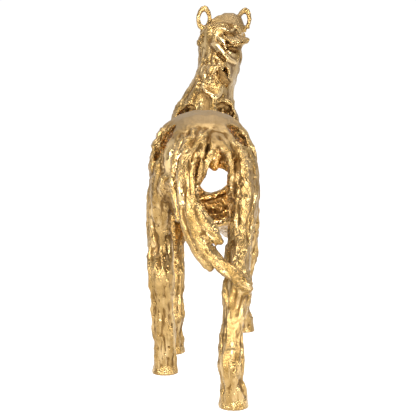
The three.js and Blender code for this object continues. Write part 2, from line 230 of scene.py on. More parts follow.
grainLines = {
    "hindRight": [(28, -1, -6, 14, 15), (25.5, -4, 29, 12, 12), (24.4, -4, 48, 14, 14),
                  (26, 6, 74, 12, 12), (29.6, 16, 102, 12, 13), (33.5, 24, 128, 16, 19),
                  (35.5, 46, 162, 14, 19), (38, 68, 197, 16, 28), (42, 88, 230, 20, 38),
                  (42, 104, 266, 20, 40), (34, 112, 294, 17, 34)],
    "hindLeft": [(-55.4, 145, -6, 14, 15), (-55, 140, 29, 12, 12), (-56, 137, 50, 15, 14),
                 (-57, 135, 78, 13, 13), (-58, 131, 104, 14, 14), (-58, 128, 128, 15, 19),
                 (-60, 140, 160, 14, 20), (-62, 146, 195, 14, 28), (-61, 138, 228, 14, 38),
                 (-57, 128, 262, 14, 42), (-46, 122, 292, 16, 34)],
    "frontLeft": [(-49.4, 250, -6, 14, 15), (-48.4, 244, 32, 12, 12), (-47.5, 239, 55, 15, 15),
                  (-47.5, 242, 82, 12, 12), (-47.5, 248, 112, 14, 16), (-48, 262, 145, 13, 17),
                  (-49, 284, 182, 16, 25), (-50, 302, 222, 17, 36), (-47, 306, 264, 17, 38),
                  (-46, 302, 300, 16, 32)],
    "frontRight": [(54.6, 386, -6, 14, 15), (52, 378, 33, 12, 12), (51, 372, 56, 13, 15),
                   (52, 368, 85, 12, 12), (57.5, 366, 116, 15, 16), (59, 358, 146, 14, 17),
                   (59.5, 345, 184, 17, 26), (52, 332, 224, 17, 36), (44, 322, 264, 16, 38),
                   (38, 314, 298, 14, 30)],
    "neck": [(-6, 325, 300, 51, 56), (-1, 332, 345, 39, 50), (6.5, 342, 369, 31, 43),
             (12.5, 357, 391, 29, 36), (18, 376, 420, 31, 32), (18.5, 388, 445, 32, 28),
             (24, 402, 471, 20, 16)],
    "trunk": [(-3, 80, 268, 50, 50), (-5, 145, 262, 60, 62), (-4, 190, 252, 58, 64), (-2, 240, 246, 56, 66),
              (0, 285, 244, 58, 72), (0, 325, 244, 56, 76), (2, 384, 240, 34, 44)],
    "head": [(24, 398, 464, 24, 24), (27, 431, 442, 26, 30), (30, 465, 419, 18, 24), (33, 500, 396, 13, 18)],
    "tailOuter": [(-8, 90, 316, 9, 8), (-26, 46, 282, 6, 6), (-30, 38, 236, 7, 6), (-19, 32, 189, 7, 6),
                  (0, 25, 159, 7, 6)],
    "tailInner": [(2, 90, 316, 9, 8), (-18, 44, 282, 6, 6), (-21, 34, 240, 7, 6), (-13, 28, 198, 9, 7),
                  (14, 16, 160, 9, 7), (42, 6, 140, 7, 7)],
    "tailThin": [(7, 62, 300, 6, 6), (-5, 52, 268, 4, 5), (-15, 42, 237, 4, 5), (-11, 36, 222, 4, 4)],
    "tailSide": [(-28, 66, 298, 8, 7), (-41, 58, 252, 5, 6), (-33, 50, 206, 4, 5)],
    "tailBlade": [(-22, 36, 238, 4, 4), (-5, 27, 208, 10, 4), (17, 18, 184.5, 4, 3)],
}


def through(points, step):
    # a smooth line through the given points with a point about every step
    points = np.asarray(points, float)
    ends = np.vstack([2 * points[0] - points[1], points, 2 * points[-1] - points[-2]])
    made = []
    for i in range(1, len(ends) - 2):
        a, b, c, d = ends[i - 1:i + 3]
        count = max(2, int(np.linalg.norm((c - b)[:3]) / step))
        for t in np.arange(count) / count:
            made.append(0.5 * (2 * b + (c - a) * t + (2 * a - 5 * b + 4 * c - d) * t * t
                               + (3 * b - a - 3 * c + d) * t ** 3))
    made.append(points[-1])
    return np.array(made)


drawStep = 3.0         # millimetres between the points of a drawn line


class GrainLine:
    def __init__(self, stations):
        line = through(stations, drawStep)
        self.middle = line[:, :3]
        self.half = line[:, 3:]
        self.along = np.gradient(self.middle, axis=0)
        self.along /= np.linalg.norm(self.along, axis=1, keepdims=True)
        steps = np.linalg.norm(np.diff(self.middle, axis=0), axis=1)
        self.reach = np.concatenate([[0], np.cumsum(steps)])
        self.side = np.cross((0, 1, 0), self.along)
        level = np.cross((0, 0, 1), self.along)
        upright = np.abs(self.along[:, 2:]) > 0.5
        self.side = np.where(upright, self.side, level)
        self.side /= np.linalg.norm(self.side, axis=1, keepdims=True)
        self.fore = np.cross(self.along, self.side)

    def local(self, points):
        # for each point: place across, place fore, place along, distance in girths
        near = np.empty(len(points), int)
        square = (self.middle ** 2).sum(1)
        batch = 40000      # points at a time, to spare memory
        for i in range(0, len(points), batch):
            near[i:i + batch] = np.argmin(square - 2 * points[i:i + batch] @ self.middle.T, axis=1)
        offset = points - self.middle[near]
        across = (offset * self.side[near]).sum(1)
        fore = (offset * self.fore[near]).sum(1)
        beyond = (offset * self.along[near]).sum(1)
        girths = np.sqrt((across / self.half[near, 0]) ** 2 + (fore / self.half[near, 1]) ** 2
                         + (beyond / self.half[near].mean(1)) ** 2)
        return across, fore, self.reach[near] + beyond, girths

    def around(self, reach, angle, out):
        # a point at a distance along the limb, an angle round it and so many girths out
        i = int(np.clip(np.searchsorted(self.reach, reach), 0, len(self.reach) - 1))
        return (self.middle[i] + out * self.half[i, 0] * math.cos(angle) * self.side[i]
                + out * self.half[i, 1] * math.sin(angle) * self.fore[i])


lines = {name: GrainLine(stations) for name, stations in grainLines.items()}


# Bark strips, laid on the casting by Geometry Nodes

bark = {
    "seed": 5,
    "flatness": 0.58,      # a strip's thickness as a share of its width
    "sink": 0.22,          # how deep it sits in the surface, as a share of its half-width
    "step": 0.004,         # metres between its points
    "unevenness": 0.5,     # how much its width varies
    "taper": 0.4,          # how blunt its ends are: less is blunter
    "waves": 55.0,         # scale of the swelling along it
    "sides": 9,            # of its cross-section
    "startOut": 1.1,       # girths from the middle of a limb at which its rails are drawn
    "railStep": 9,         # millimetres between a rail's points
    "sway": 0.12,          # radians that a rail sways to either side
}


def barkTree():
    tree = bpy.data.node_groups.new("layBark", "GeometryNodeTree")
    face = tree.interface
    face.new_socket("Geometry", in_out="INPUT", socket_type="NodeSocketGeometry")
    for name, kind in [("Body", "Object"), ("Material", "Material"), ("Step", "Float"),
                       ("Flatness", "Float"), ("Sink", "Float"), ("Lay", "Float"),
                       ("Unevenness", "Float"), ("Seed", "Float")]:
        face.new_socket(name, in_out="INPUT", socket_type="NodeSocket" + kind)
    face.new_socket("Geometry", in_out="OUTPUT", socket_type="NodeSocketGeometry")
    bench = Bench(tree)
    given = {socket.name: bench.add("NodeGroupInput", {}, {}, socket.name)
             for socket in face.items_tree if socket.in_out == "INPUT"}
    curve = bench.add("GeometryNodeMeshToCurve", {}, {"Mesh": given["Geometry"]})
    curve = bench.add("GeometryNodeResampleCurve", {"mode": "LENGTH"},
                      {"Curve": curve, "Length": given["Step"]})
    body = bench.add("GeometryNodeObjectInfo", {"transform_space": "RELATIVE"},
                     {"Object": given["Body"]}, "Geometry")
    here = bench.add("GeometryNodeInputPosition")
    nearest = bench.add("GeometryNodeProximity", {"target_element": "FACES"}, {"Geometry": body})
    normal = bench.add("GeometryNodeSampleNearestSurface", {"data_type": "FLOAT_VECTOR"},
                       {"Mesh": body, "Value": bench.add("GeometryNodeInputNormal")})
    laid = bench.add("ShaderNodeMix", {"data_type": "VECTOR"},
                     {"Factor": given["Lay"], 4: here, 5: nearest}, 1)
    girth = bench.add("GeometryNodeInputNamedAttribute", {"data_type": "FLOAT"}, {"Name": "girth"})
    lift = bench.add("ShaderNodeVectorMath", {"operation": "SCALE"},
                     {0: normal, "Scale": girth * given["Sink"] * -1.0})
    curve = bench.add("GeometryNodeSetPosition", {}, {"Geometry": curve, "Position": laid, "Offset": lift})
    curve = bench.add("GeometryNodeSetCurveNormal", {"mode": "FREE"}, {"Curve": curve, "Normal": normal})
    share = bench.add("GeometryNodeSplineParameter", {}, {}, "Factor")
    arch = share.math("SINE", share * math.pi)
    taper = share.math("MAXIMUM", arch, 0.02) ** bark["taper"]
    wave = bench.add("ShaderNodeTexNoise", {"noise_dimensions": "4D"},
                     {"Scale": bark["waves"], "Detail": 1.0, "W": given["Seed"]})
    swell = 1.0 + given["Unevenness"] * (wave * 2.0 - 1.0) * 1.6
    profile = bench.add("GeometryNodeCurvePrimitiveCircle", {}, {"Resolution": bark["sides"], "Radius": 1.0})
    squash = bench.add("ShaderNodeCombineXYZ", {}, {0: given["Flatness"], 1: 1.0, 2: 1.0})
    profile = bench.add("GeometryNodeTransform", {}, {"Geometry": profile, "Scale": squash})
    mesh = bench.add("GeometryNodeCurveToMesh", {},
                     {"Curve": curve, "Profile Curve": profile, "Scale": girth * taper * swell,
                      "Fill Caps": True})
    mesh = bench.add("GeometryNodeRealizeInstances", {}, {"Geometry": mesh})
    mesh = bench.add("GeometryNodeSetMaterial", {}, {"Geometry": mesh, "Material": given["Material"]})
    bench.add("NodeGroupOutput", {}, {0: mesh})
    return tree


layBark = barkTree()


def layStrips(name, rails, girths, body, material, lay):
    # rails: lists of points in metres; girths: half-widths of the strips at those points, in metres;
    # lay: 1 puts them on the nearest place of the body, 0 leaves them where they are
    points = np.vstack(rails)
    edges = []
    start = 0
    for rail in rails:
        edges += [(start + i, start + i + 1) for i in range(len(rail) - 1)]
        start += len(rail)
    mesh = bpy.data.meshes.new(name + "Rails")
    mesh.from_pydata([tuple(p) for p in points], edges, [])
    girth = mesh.attributes.new("girth", "FLOAT", "POINT")
    girth.data.foreach_set("value", np.concatenate(girths).astype(np.float32))
    carrier = makeObject(name + "Rails", mesh)
    modifier = carrier.modifiers.new("layBark", "NODES")
    modifier.node_group = layBark
    inputs = {"Body": body, "Material": material, "Step": bark["step"], "Flatness": bark["flatness"],
              "Sink": bark["sink"], "Lay": lay, "Unevenness": bark["unevenness"], "Seed": float(bark["seed"])}
    for socket in layBark.interface.items_tree:
        if socket.item_type == "SOCKET" and socket.in_out == "INPUT" and socket.name in inputs:
            modifier[socket.identifier] = inputs[socket.name]
    made = makeObject(name, evaluatedMesh(carrier))
    discard(carrier)
    return made


# Rails of the strips: along each limb, at random from a fixed seed

stripPlan = {
    # line: how many, from, to (shares of its length), shortest, longest, thinnest, thickest, drift round it
    "hindRight": (24, 0.07, 0.84, 80, 240, 3.2, 5.6, 0.35),
    "hindLeft": (24, 0.07, 0.84, 80, 240, 3.2, 5.6, 0.35),
    "frontLeft": (22, 0.07, 0.95, 80, 220, 3.2, 5.4, 0.35),
    "frontRight": (22, 0.07, 0.95, 80, 220, 3.2, 5.4, 0.35),
    "trunk": (44, 0.22, 0.98, 70, 190, 4.4, 8.5, 0.45),
    "neck": (30, 0.0, 0.80, 18, 60, 3.0, 5.6, 1.0),
    "head": (12, 0.1, 0.95, 18, 50, 2.4, 4.0, 0.35),
    "tailOuter": (9, 0.12, 0.95, 40, 130, 1.4, 2.4, 0.8),
    "tailInner": (10, 0.12, 0.95, 40, 130, 1.4, 2.6, 0.8),
}
# windows that the strips keep clear of: middle, radius
windows = [((-53, 92, 297), 27), ((36, 90, 304), 24), ((0, 60, 236), 27), ((0, 70, 268), 26),
           ((0, 56, 206), 24), ((11, 390, 235), 24), ((-22, 232, 166), 30), ((14, 288, 157), 26),
           ((-34, 288, 336), 17), ((28, 288, 340), 16), ((26, 350, 436), 25), ((2, 290, 352), 20),
           ((-60, 222, 236), 26), ((60, 228, 228), 24), ((22, 335, 388), 13), ((6, 394, 338), 16)]
drawn = np.random.default_rng(bark["seed"])


def clear(rail):
    # the longest run of points of a rail that stays on the bark
    free = np.ones(len(rail), bool)
    for middle, radius in windows:
        free &= np.linalg.norm(rail - middle, axis=1) > radius
    # the rump cap stays smooth
    free &= ~((rail[:, 2] > 296) & (rail[:, 1] > 70) & (rail[:, 1] < 180))
    runs, start = [], None
    for i, good in enumerate([*free, False]):
        if good and start is None:
            start = i
        if not good and start is not None:
            runs.append((i - start, start))
            start = None
    if not runs:
        return rail[:0]
    count, start = max(runs)
    return rail[start:start + count]


def grow(name, count, start, end, shortest, longest, thin, thick, drift):
    line = lines[name]
    total = line.reach[-1]
    rails, girths = [], []
    for _ in range(count):
        length = drawn.uniform(shortest, longest)
        low = drawn.uniform(start * total, max(start * total + 1, end * total - length * 0.6))
        high = min(low + length, end * total)
        angle = drawn.uniform(0, 2 * math.pi)
        turn = drawn.normal(0, drift)
        width = drawn.uniform(thin, thick)
        phase = drawn.uniform(0, 6, 2)[0]
        rail = []
        for share in np.linspace(0, 1, max(4, int((high - low) / bark["railStep"]))):
            sway = bark["sway"] * math.sin(phase + 5 * share)
            rail.append(line.around(low + (high - low) * share, angle + turn * share + sway,
                                    bark["startOut"]))
        rail = clear(np.array(rail))
        if len(rail) < 3:
            continue
        rails.append(place(rail))
        girths.append(np.full(len(rail), width * 0.001))
    return rails, girths


# Strips that are drawn as they are seen from behind, and laid on what is seen there:
# half-width, how far the middle stands out, then x and z of the points that they run through.
# The gold is polished along the bright ones, and painted lighter there as a painted highlight.

brightStrips = [
    # locks down the nape
    (5.6, 4.6, [(3, 439), (10, 437), (18, 429), (25, 421), (32, 415), (39, 412), (43, 410)]),
    (3.6, 3.2, [(13, 450), (20, 444), (26, 435), (32, 427), (37, 422)]),
    # rim of the poll cap
    (2.6, 3.4, [(14, 463.5), (21, 462.5), (28, 460.5), (33, 456.5), (38, 462), (46, 470)]),
    # lip across the withers
    (3.6, 4.8, [(-9, 374), (-3, 366), (3, 361.5), (10, 358.5), (17, 361), (21, 369)]),
    # left thigh, and the tail's outer edge
    (8.2, 2.0, [(-46, 297), (-47, 288), (-48.5, 278), (-50, 266)]),
    (4.0, 1.2, [(-29, 296), (-32, 287), (-35, 272), (-35.5, 258), (-33, 244), (-28, 229)]),
]
backStrips = [
    # curl on the left of the poll cap, and lumps on the right of the nape
    (3.4, 1.4, [(-5, 450), (-2, 459), (3, 464.5), (9, 465)]),
    (3.2, 1.6, [(45, 435), (47, 427), (47, 419), (44, 411)]),
    # lumps and ridges of the mane
    (3.4, 1.6, [(-12, 409), (-11, 402), (-12, 396)]),
    (3.8, 1.8, [(1, 405), (2, 399), (0, 393)]),
    (3.4, 1.6, [(-6, 398), (-5, 391), (-7, 385)]),
    (3.8, 1.8, [(5, 391), (3, 384), (4, 378)]),
    (3.6, 1.8, [(-2, 384), (-4, 377), (-7, 371)]),
    (3.4, 1.6, [(-8, 420), (-7, 413), (-8, 408)]),
    (3.4, 1.6, [(8, 420), (7, 413), (9, 407)]),
    (3.0, 1.4, [(11, 402), (12, 393), (14, 385), (18, 376), (24, 370)]),
    # drop on the withers
    (3.2, 3.0, [(7, 357), (8, 354), (8, 351)]),
    # rims of the shoulder windows
    (3.0, 1.4, [(-38, 338), (-32, 346), (-24, 349), (-16, 343)]),
    (3.0, 1.4, [(13, 342), (17, 351), (25, 354), (33, 348), (38, 341)]),
    # ridges that run from the rump into the tail
    (3.8, 0.8, [(-7, 320), (-13, 315), (-18, 311), (-24, 302), (-31, 290), (-35, 278)]),
    (3.4, 1.0, [(4, 314), (-3, 308), (-8, 301), (-12, 293), (-14, 285)]),
    (4.4, 0.6, [(-33, 307), (-38, 298), (-41, 288)]),
    (3.6, 0.8, [(-22, 309), (-27, 301), (-30, 292)]),
    (4.0, 0.8, [(8, 310), (14, 307), (21, 299), (28, 289), (33, 277), (36, 262)]),
    (4.0, 0.6, [(24, 306), (32, 298), (39, 286), (43, 268)]),
    # the arch on the tail's right
    (5.0, 0.6, [(25, 288), (30, 277), (33, 264), (34, 250), (34, 236), (34, 220)]),
    (4.6, 0.6, [(25, 287), (28, 274), (29.5, 260), (30, 246), (30, 230)]),
    # left thigh
    (6.0, 0.6, [(-44, 262), (-46, 248), (-46, 234), (-45, 220)]),
]

# These stand where they are drawn, in x, y and z.
freeStrips = [
    # strand on the left of the rear opening, and the plate over it
    (4.8, [(8, 58, 297), (3, 53, 285), (-2, 50, 275), (-6, 48, 265), (-10, 45, 252), (-14, 41, 238)]),
    (5.2, [(0, 55, 299), (-5, 50, 287), (-9, 47, 275), (-12, 44, 262), (-15, 41, 248)]),
    (5.5, [(2, 55, 301), (9, 58, 295), (16, 61, 290), (22, 65, 281), (26, 68, 269)]),
    # left thigh
    (7.4, [(-50, 78, 262), (-54, 84, 246), (-55, 98, 230), (-55, 108, 214), (-56, 117, 196),
           (-58, 120, 176)]),
    (5.0, [(-62, 92, 272), (-64, 96, 250), (-63, 103, 228), (-62, 113, 206), (-64, 120, 184)]),
    # long ridges down the right thigh
    (5.4, [(37, 62, 290), (43, 58, 264), (43, 50, 232), (39, 40, 200), (34, 28, 170), (32, 10, 138)]),
    (4.8, [(49, 70, 282), (56, 70, 252), (55, 62, 222), (50, 48, 192), (43, 30, 162)]),
    # flap that hangs inside the rear opening
    (8.0, [(2, 370, 290), (5, 373, 272), (9, 376, 256), (11, 378, 247)]),
    (6.5, [(13, 372, 290), (15, 374, 272), (17, 376, 260)]),
    # sill of the breast window
    (6.4, [(-20, 377, 205), (-6, 382, 209), (8, 384, 213), (20, 383, 217), (34, 377, 222)]),
    # knob on the left of the nape
    (4.2, [(-12, 380, 448), (-15, 380, 442), (-13, 380, 436)]),
]


def ledge():
    # folded plate on the nape: its lower edge stands out in a V
    inner = [(20, 368, 457), (31, 364, 452), (46, 370, 451), (57, 378, 448)]
    outer = [(22, 350, 449), (34, 339, 437), (47, 350, 440.5), (62, 368, 444.5)]
    thick = 1.9            # half the plate's thickness
    points, faces = [], []
    for a, b in zip(inner, outer):
        for p in (a, b):
            points += [(p[0], p[1], p[2] + thick), (p[0], p[1], p[2] - thick)]
    for i in range(len(inner) - 1):
        a, b = i * 4, i * 4 + 4
        faces += [(a, b, b + 2, a + 2), (a + 1, a + 3, b + 3, b + 1), (a, a + 1, b + 1, b),
                  (a + 2, b + 2, b + 3, a + 3)]
    last = (len(inner) - 1) * 4
    faces += [(0, 2, 3, 1), (last, last + 1, last + 3, last + 2)]
    mesh = bpy.data.meshes.new("ledge")
    mesh.from_pydata([tuple(p) for p in place(points)], [], faces)
    return makeObject("ledge", mesh)


# Gold

gold = {
    "bright": (0.50, 0.33, 0.132),
    "warm": (0.29, 0.172, 0.052),
    "satin": (0.27, 0.184, 0.092),
    # lighter where polished: real polish with a painted highlight
    "polishedSheen": (0.76, 0.55, 0.28),
    # inner walls, painted lighter: painted light in the shade of the hollow
    "inner": (0.84, 0.60, 0.25),
    # painted shade: darker in crevices and pressed hollows
    "creviceShade": (0.15, 0.075, 0.02),
    "polish": 0.24,        # roughness where the gold is brightest
    "dull": 0.50,          # roughness on the satin plates
    "rawMetal": 0.68,      # how metallic the unpolished inner walls look
    "rawDull": 0.38,       # how much rougher they are
    "sheenPatchScale": 0.16,    # scales of the patterns
    "patchScale": 55.0,
    "speckScale": 520.0,
    "facetScale": 210.0,
    "pitScale": 130.0,
    "facetBump": 0.42,     # how high each stands in the bump, against fibres of 1
    "speckBump": 0.22,
    "pitBump": 0.25,
    "bump": 0.8,           # its strength
    "bumpHeight": 0.001,   # metres
}


def goldMaterial():
    material = bpy.data.materials.new("barkGold")
    material.use_nodes = True
    tree = material.node_tree
    tree.nodes.clear()
    bench = Bench(tree)
    here = bench.add("ShaderNodeTexCoord", {}, {}, "Object")
    creviceShade, satin, inner, polishAndSheen = [bench.attribute(name) for name in ("creviceShade", "satin", "inner", "polishAndSheen")]
    grain = bench.attribute("grain", "Vector")
    # random patches that are polished and painted lighter too, a painted highlight
    sheenPatches = bench.noise(grain, gold["sheenPatchScale"], 2.0)
    polishedSheen = polishAndSheen.math("MAXIMUM", polishAndSheen, ((sheenPatches - 0.51) * 6.0).clamped() * 0.8)
    polishedSheen = polishedSheen * (1.0 - satin) * (1.0 - inner)
    patches = bench.noise(here, gold["patchScale"], 4.0, 0.6)
    specks = bench.noise(here, gold["speckScale"], 2.0)
    fibres = bench.noise(grain, 1.0, 3.0, 0.6)
    facets = bench.add("ShaderNodeTexVoronoi", {"feature": "SMOOTH_F1"},
                       {"Vector": here, "Scale": gold["facetScale"], "Smoothness": 0.35}, "Distance")
    pits = bench.add("ShaderNodeTexVoronoi", {}, {"Vector": here, "Scale": gold["pitScale"]}, "Distance")
    dots = bench.ramp(pits, 0.10, 0.24)
    colour = bench.mixColour(((patches - 0.33) * 3.2).clamped(), gold["bright"], gold["warm"])
    # lighter colour where polished: a painted highlight; the lower roughness below is real polish
    colour = bench.mixColour(polishedSheen * 0.7, colour, gold["polishedSheen"])
    colour = bench.mixColour((satin * (1.25 - patches * 0.8)).clamped(), colour, gold["satin"])
    # painted shade: darker where the surface lies deep, in crevices and pressed hollows, with random specks
    # and darker pits
    deep = creviceShade + (specks - 0.5) * 0.5 + (1.0 - dots) * 0.12 * (1.0 - satin)
    paintedShade = bench.ramp(deep, 0.42, 0.95)
    colour = bench.mixColour(paintedShade * 0.88, colour, gold["creviceShade"])
    # inner walls painted lighter, a painted light in the hollow's shade; less metallic and rougher as raw
    # metal
    colour = bench.mixColour(inner * (1.0 - paintedShade * 0.5), colour, gold["inner"])
    roughness = (gold["polish"] + (patches - 0.5) * 0.3 + (specks - 0.5) * 0.2
                 + satin * (gold["dull"] - gold["polish"]) + paintedShade * 0.2 + inner * gold["rawDull"]
                 - polishedSheen * 0.07).clamped()
    metal = 1.0 - inner * (1.0 - gold["rawMetal"])
    relief = (fibres + facets * gold["facetBump"] * (1.0 - satin * 0.8)
              + specks * gold["speckBump"] * (1.0 - satin * 0.4) + dots * gold["pitBump"] * (1.0 - satin))
    relief = relief * (1.0 - polishedSheen * 0.75)
    bump = bench.add("ShaderNodeBump", {},
                     {"Strength": gold["bump"], "Distance": gold["bumpHeight"], "Height": relief})
    surface = bench.add("ShaderNodeBsdfPrincipled", {},
                        {"Base Color": colour, "Metallic": metal, "Roughness": roughness, "Normal": bump})
    bench.add("ShaderNodeOutputMaterial", {}, {"Surface": surface})
    return material


barkGold = goldMaterial()

# The casting: the CAD solid with its bark strips, made one skin

casting = {
    "weld": 0.00002,       # metres within which the solid's points become one
    "voxel": 0.00125,      # metres
    "triangles": 194000,
    "standOff": 80,        # millimetres behind the tail from which its back is felt for
    "freeStep": 4.0,       # millimetres between the points of a strip that stands free
}

body = makeObject("plainHorse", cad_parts["horse"].data.copy())
body.data.materials.clear()
weld = body.modifiers.new("weld", "WELD")
weld.merge_threshold = casting["weld"]
welded = evaluatedMesh(body)
discard(body)
body = makeObject("plainHorse", welded)
if "custom_normal" in welded.attributes:
    welded.attributes.remove(welded.attributes["custom_normal"])
welded.shade_smooth()

rails, girths = [], []
for name, plan in stripPlan.items():
    more, wide = grow(name, *plan)
    rails += more
    girths += wide
laid = layStrips("laidBark", rails, girths, body, barkGold, 1.0)
bodyTree = BVHTree.FromObject(body, bpy.context.evaluated_depsgraph_get())


def onBack(x, z):
    # how far forward the casting lies there, seen from behind, in millimetres
    start = Vector(place((x, -casting["standOff"], z)))
    hit = bodyTree.ray_cast(start, Vector((0, 1, 0)))[3]
    return math.nan if hit is None else hit * 1000 - casting["standOff"]


def laidRail(outline, rise):
    # the outline, laid on what is seen from behind; where nothing is, it runs straight on
    flat = through(outline, drawStep)
    depth = np.array([onBack(x, z) for x, z in flat])
    seen = ~np.isnan(depth)
    steps = np.arange(len(flat))
    depth = np.interp(steps, steps[seen], depth[seen])
    for _ in range(2):
        depth[1:-1] = 0.25 * depth[:-2] + 0.5 * depth[1:-1] + 0.25 * depth[2:]
    return place(np.stack([flat[:, 0], depth - rise, flat[:, 1]], 1))


rails = [laidRail(outline, rise) for _, rise, outline in brightStrips + backStrips]
polishedSheen = [((rail - underTail) * 1000, strip[0]) for rail, strip in zip(rails, brightStrips)]
rails += [place(through(points, casting["freeStep"])) for _, points in freeStrips]
widths = [strip[0] for strip in brightStrips + backStrips + freeStrips]
girths = [np.full(len(rail), width * 0.001) for rail, width in zip(rails, widths)]
drawnBark = layStrips("drawnBark", rails, girths, body, barkGold, 0.0)

# Hollows that are pressed into the surface: x and z of both ends, radius, depth,
# and how much raw inner-wall gold is painted in them, lighter and orange as a painted reflection
hollows = [
    ((30, 432), (39, 429), 5.0, 7.0, 0.0),           # under the ledge on the nape
    ((15, 422), (24, 413), 4.0, 4.0, 0.0),           # under the locks
    ((20, 437), (28, 427), 2.4, 3.0, 0.0),
    ((27, 454), (37, 453), 4.5, 6.0, 0.0),           # under the rim of the poll cap
    ((17, 394), (24, 379), 7.0, 9.0, 0.15),          # beside the mane's right
    ((-3, 358), (-3, 338), 9.0, 3.0, 0.35),          # groove in the withers
    ((-34, 340), (-24, 343), 8.0, 5.0, 0.3),         # shoulders
    ((19, 345), (32, 339), 8.5, 6.0, 0.3),
    ((-9, 296), (-18, 279), 4.0, 7.0, 0.3),          # where the tail leaves the thigh
    ((-22, 278), (-20, 240), 3.0, 4.0, 0.0),
    ((-12, 388), (-12, 382), 3.5, 2.5, 0.0),         # in the mane
    ((-2, 412), (-3, 408), 3.0, 2.5, 0.0),
]
hollowDepths = [(onBack(*start), onBack(*end)) for start, end, *_ in hollows]
parts = [body, laid, drawnBark, ledge()]
print("bark laid:", [len(part.data.polygons) for part in parts])


def joined(name, things):
    points, faces = [], []
    start = 0
    for thing in things:
        mesh = thing.data
        mesh.calc_loop_triangles()
        triangles = np.empty(len(mesh.loop_triangles) * 3, np.int32)
        mesh.loop_triangles.foreach_get("vertices", triangles)
        points.append(readPoints(mesh))
        faces.append(triangles.reshape(-1, 3) + start)
        start += len(mesh.vertices)
        discard(thing)
    mesh = bpy.data.meshes.new(name)
    mesh.from_pydata(np.vstack(points).tolist(), [], np.vstack(faces).tolist())
    return makeObject(name, mesh)


rough = joined("roughHorse", parts)
remesh = rough.modifiers.new("oneSkin", "REMESH")
remesh.mode = "VOXEL"
remesh.voxel_size = casting["voxel"]
skin = evaluatedMesh(rough)
discard(rough)
print("one skin:", len(skin.vertices), "points")

# Relief: long ridges, laps and pits that follow each limb, and smooth plates where the casting is plain

relief = {
    "ridge": 1.25,         # millimetres
    "fineRidge": 0.42,
    "lap": 1.9,
    "lump": 1.15,
    "pit": 1.5,
    "tail": 0.55,          # the share of it on the tail's strands
    "plateCalm": 0.88,     # how much of it goes on the smooth plates, the hooves and the ears
    "hoofCalm": 0.75,
    "earCalm": 0.75,
    "ease": 2,             # rounds of smoothing before it is cut, and of its directions
    "easeNormals": 4,
    "footFlat": 0.6,       # millimetres above the floor that stay flat
}


def grainParts(points):
    # each line's share of every point, and the point's place in that line's own directions
    found = []
    for number, (name, line) in enumerate(lines.items()):
        across, fore, along, girths = line.local(points)
        weight = np.exp(-2.2 * girths ** 2)
        found.append((number, name, weight, across, fore, along))
    total = sum(item[2] for item in found) + 1e-6
    return [(number, name, weight / total, *places) for number, name, weight, *places in found]


def barkHeight(points, inside):
    # how far the bark stands out at each point, in millimetres
    height = np.zeros(len(points))
    for number, name, weight, across, fore, along in grainParts(points):
        pick = np.nonzero(weight > 0.03)[0]
        if not len(pick):
            continue
        shift = number * 13.7
        u, v, s = across[pick] + shift, fore[pick] - shift, along[pick]
        thin = relief["tail"] if name.startswith("tail") else 1.0
        # a slow bend, long ridges, finer ones, and steps like the laps of bark
        bend = 2.2 * noise(np.stack([u / 22, v / 22, s / 30], 1))
        ridge = 1 - np.abs(noise(np.stack([u / 8.5 + bend * 0.5, v / 8.5, s / 80], 1))) / 0.22
        fine = 1 - np.abs(noise(np.stack([u / 4.0 + bend * 0.5, v / 4.0 + 9, s / 42], 1))) / 0.22
        steps = (3.0 * noise(np.stack([u / 17, v / 17 + 5, s / 85], 1))
                 + 0.6 * noise(np.stack([u / 7, v / 7, s / 26], 1)))
        part = steps - np.floor(steps)
        lap = part * (1 - smoothStep(part, 0.84, 1.0)) - 0.42
        made = (relief["ridge"] * np.clip(ridge, -1.4, 1) + relief["fineRidge"] * np.clip(fine, -1.2, 1)
                + relief["lap"] * lap)
        height[pick] += weight[pick] * made * thin * inside[pick]
    lump = noise(points / 17.0) + 0.5 * noise(points / 8.0 + 31)
    pit = smoothStep(noise(points / 5.2 + 57), 0.26, 0.44)
    return height + relief["lump"] * lump * 1.5 - relief["pit"] * pit


def pressed(points):
    # how deep the hollows go at each point, and how much raw inner-wall gold, with its painted orange
    # reflection, goes there
    depth = np.zeros(len(points))
    rawSheen = np.zeros(len(points))
    for (start, end, radius, deep, bareSheen), (first, last) in zip(hollows, hollowDepths):
        a, b = np.array(start, float), np.array(end, float)
        seenAt = points[:, (0, 2)]
        share = np.clip((seenAt - a) @ (b - a) / ((b - a) @ (b - a)), 0, 1)
        away = np.linalg.norm(seenAt - a - share[:, None] * (b - a), axis=1)
        behind = points[:, 1] - (first + share * (last - first))
        here = (1 - smoothStep(away, 0.25 * radius, radius)) * (1 - smoothStep(np.abs(behind), 14, 20))
        depth = np.maximum(depth, deep * here)
        rawSheen = np.maximum(rawSheen, bareSheen * here)
    return depth, rawSheen


def plainShare(points, normals):
    # 1 on the smooth satin plates: the rump cap, what falls from it beside the tail, and the poll cap
    x, y, z = points.T
    cap = smoothStep(z, 294, 310) * smoothStep(y, 60, 84) * (1 - smoothStep(y, 160, 176))
    cap = cap * smoothStep(normals[:, 2], 0.05, 0.4)
    cap *= 1 - smoothStep(np.abs(x + 4), 42, 54)
    fromPoll = np.sqrt(((x - 32) / 26) ** 2 + ((y - 403) / 24) ** 2 + ((z - 472) / 22) ** 2)
    dome = 1 - smoothStep(fromPoll, 0.95, 1.15)
    dome *= smoothStep(z, 462, 470)
    fall = 0.65 * (1 - smoothStep(np.linalg.norm(points - (13, 66, 303), axis=1), 8, 19))
    return np.clip(cap + dome + fall, 0, 1)


